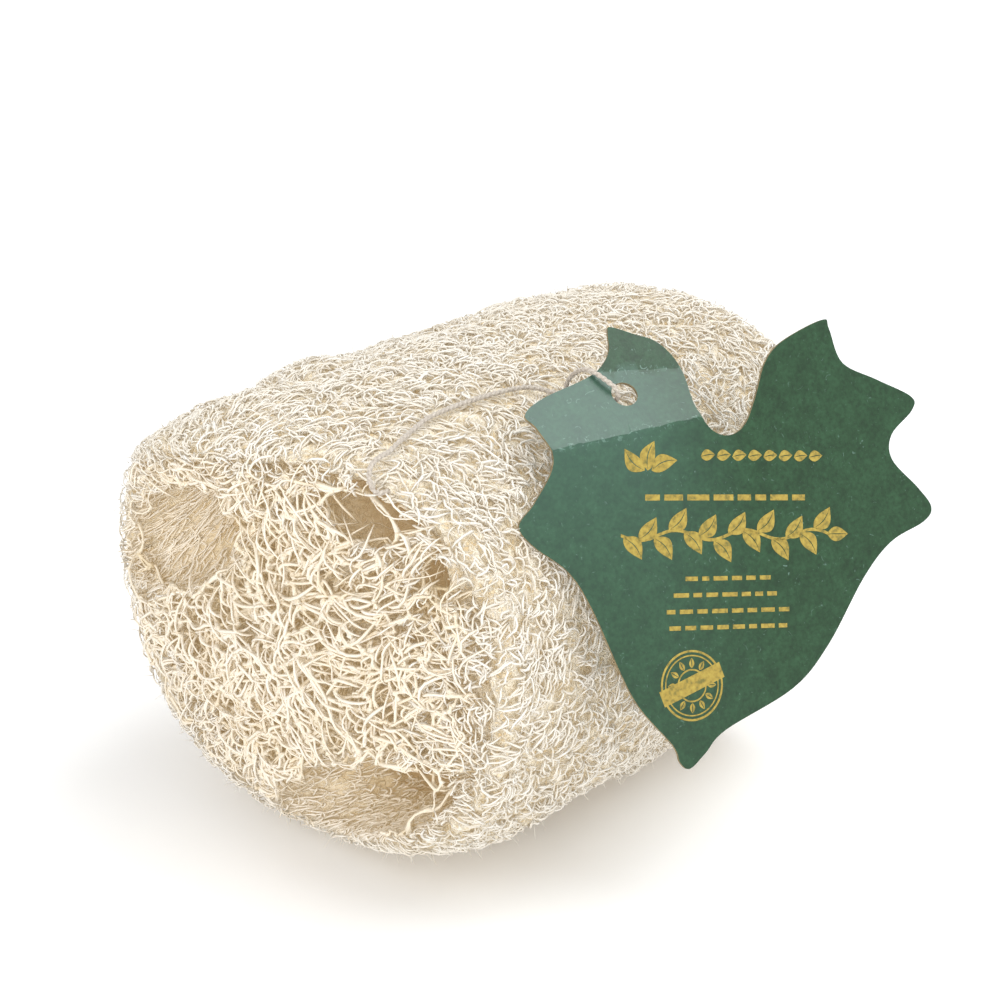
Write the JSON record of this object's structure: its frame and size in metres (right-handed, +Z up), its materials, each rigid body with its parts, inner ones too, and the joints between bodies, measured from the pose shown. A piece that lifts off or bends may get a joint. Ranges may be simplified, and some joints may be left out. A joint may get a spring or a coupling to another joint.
{
  "type": "natural loofah sponge",
  "caption": "Cut length of dried loofah fibre skeleton lying on its side, open seed chambers running through, with a leaf-shaped card tag on a thin string.",
  "frame": {"origin": "middle of the flat spot that the sponge lies on, below the middle of its length", "axes": "+Z up; X runs along the fruit and the front cut faces -X; -Y is the side that the tag hangs on"},
  "size_m": [0.125, 0.136, 0.1075],
  "materials": {
    "loofah_fibre": "dry matte plant fibre",
    "card": "uncoated dark green card with light fold lines and a plain ochre vein print",
    "twine": "matte two-ply twine"
  },
  "bodies": {
    "root": {"sponge": "loofah_fibre", "tag": "card", "string": "twine", "knot": "twine"}
  },
  "joints": []
}
